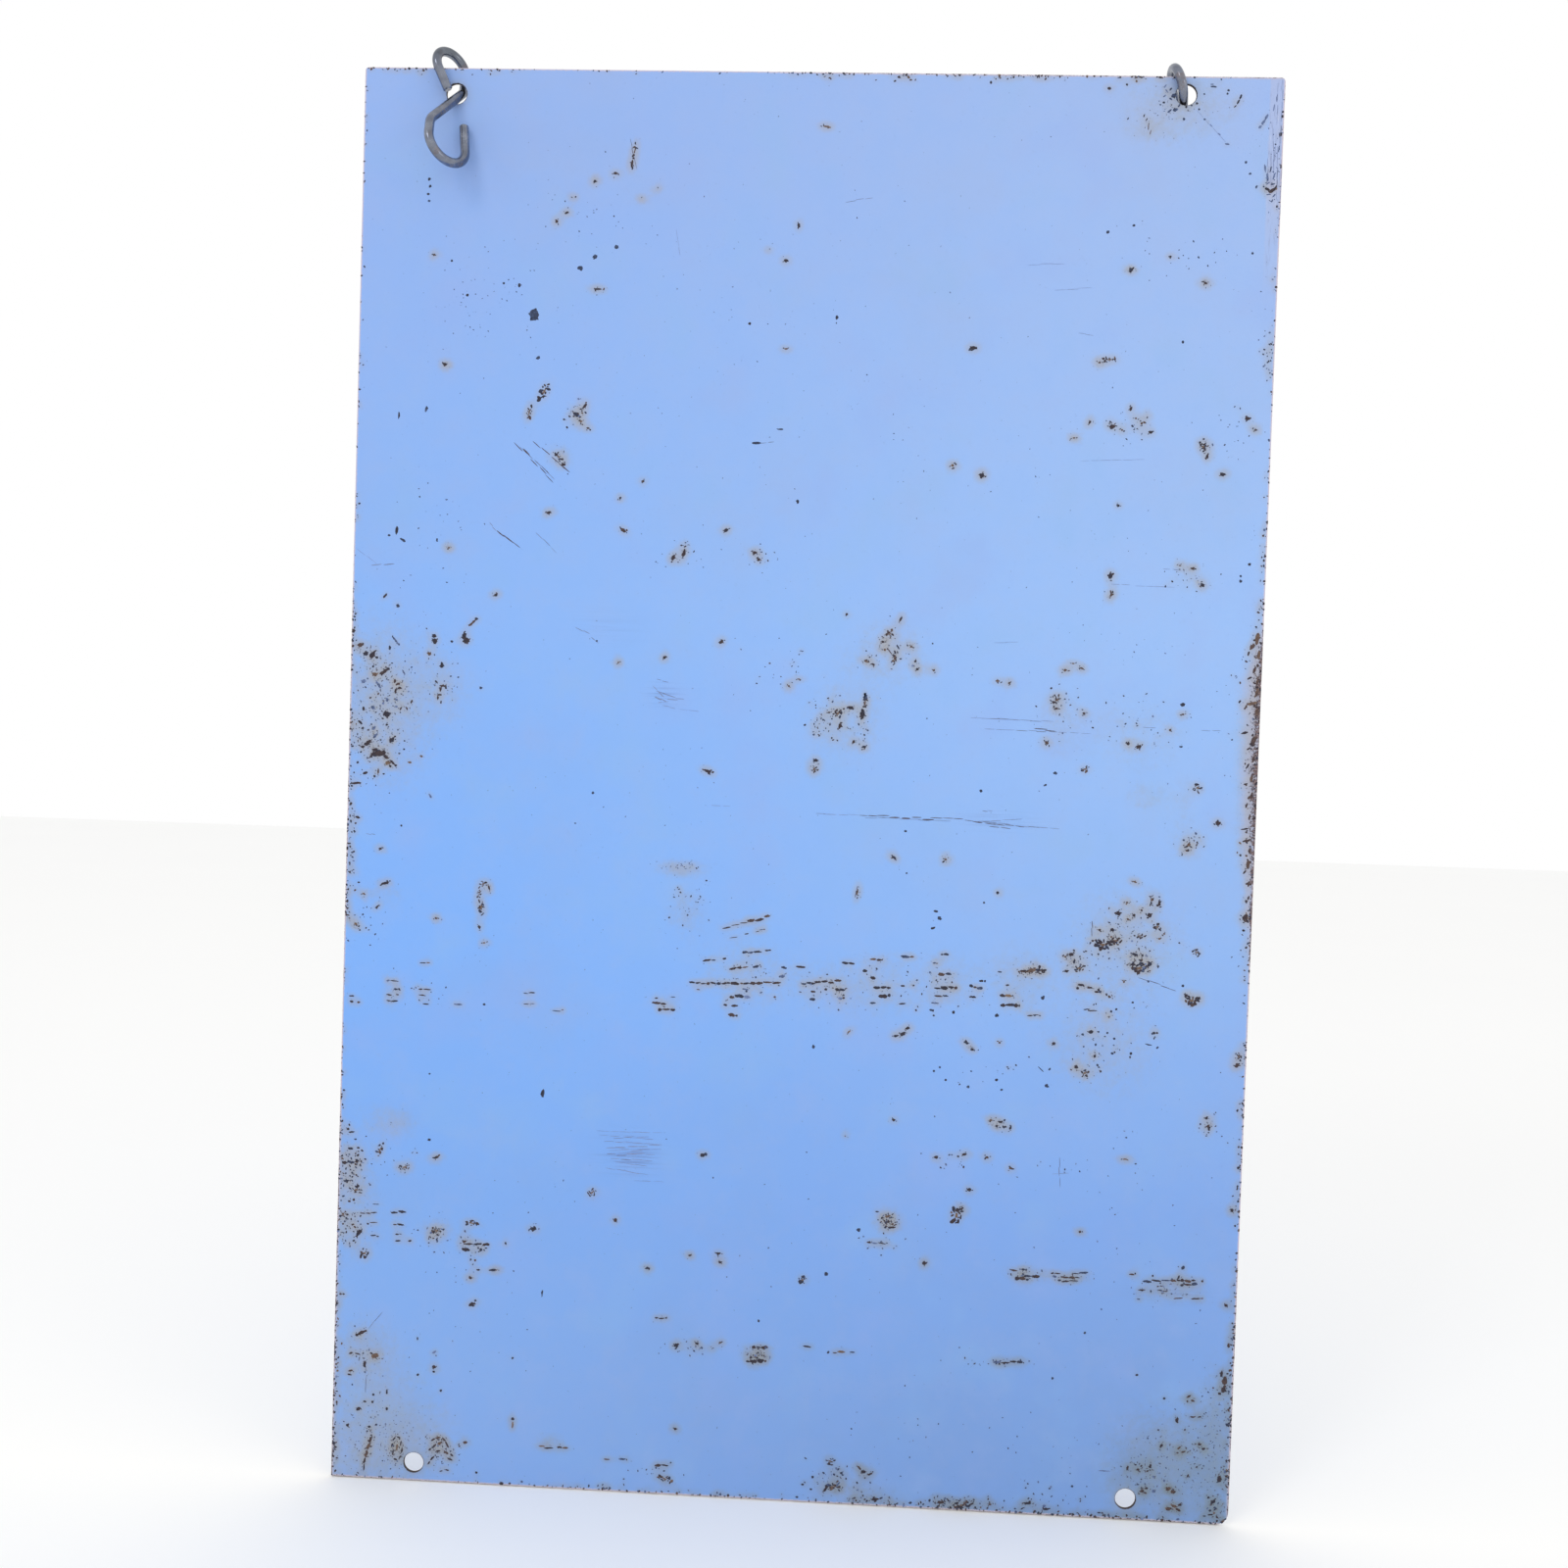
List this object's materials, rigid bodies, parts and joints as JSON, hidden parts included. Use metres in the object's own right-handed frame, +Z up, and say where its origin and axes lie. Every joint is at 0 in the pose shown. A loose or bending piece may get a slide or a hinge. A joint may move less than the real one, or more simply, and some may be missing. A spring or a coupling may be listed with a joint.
{
  "type": "blank metal sign",
  "caption": "Blank upright sign of weathered, light blue painted sheet steel, with punched corner holes and bent-wire S-hooks to hang it by.",
  "frame": {"origin": "middle of the sheet's bottom edge, at mid-thickness", "axes": "+Z up the sheet, +X to the right along the bottom edge seen from the front, -Y out of the painted front face"},
  "size_m": [0.3556, 0.0605, 0.5673],
  "materials": {
    "painted_sheet": "satin light blue paint, faded and scratched, with rust at chips, holes and edges",
    "hook_wire": "dull, worn zinc-plated wire"
  },
  "bodies": {
    "root": {"sign_plate": "painted_sheet", "left_hook": "hook_wire", "right_hook": "hook_wire"}
  },
  "joints": []
}
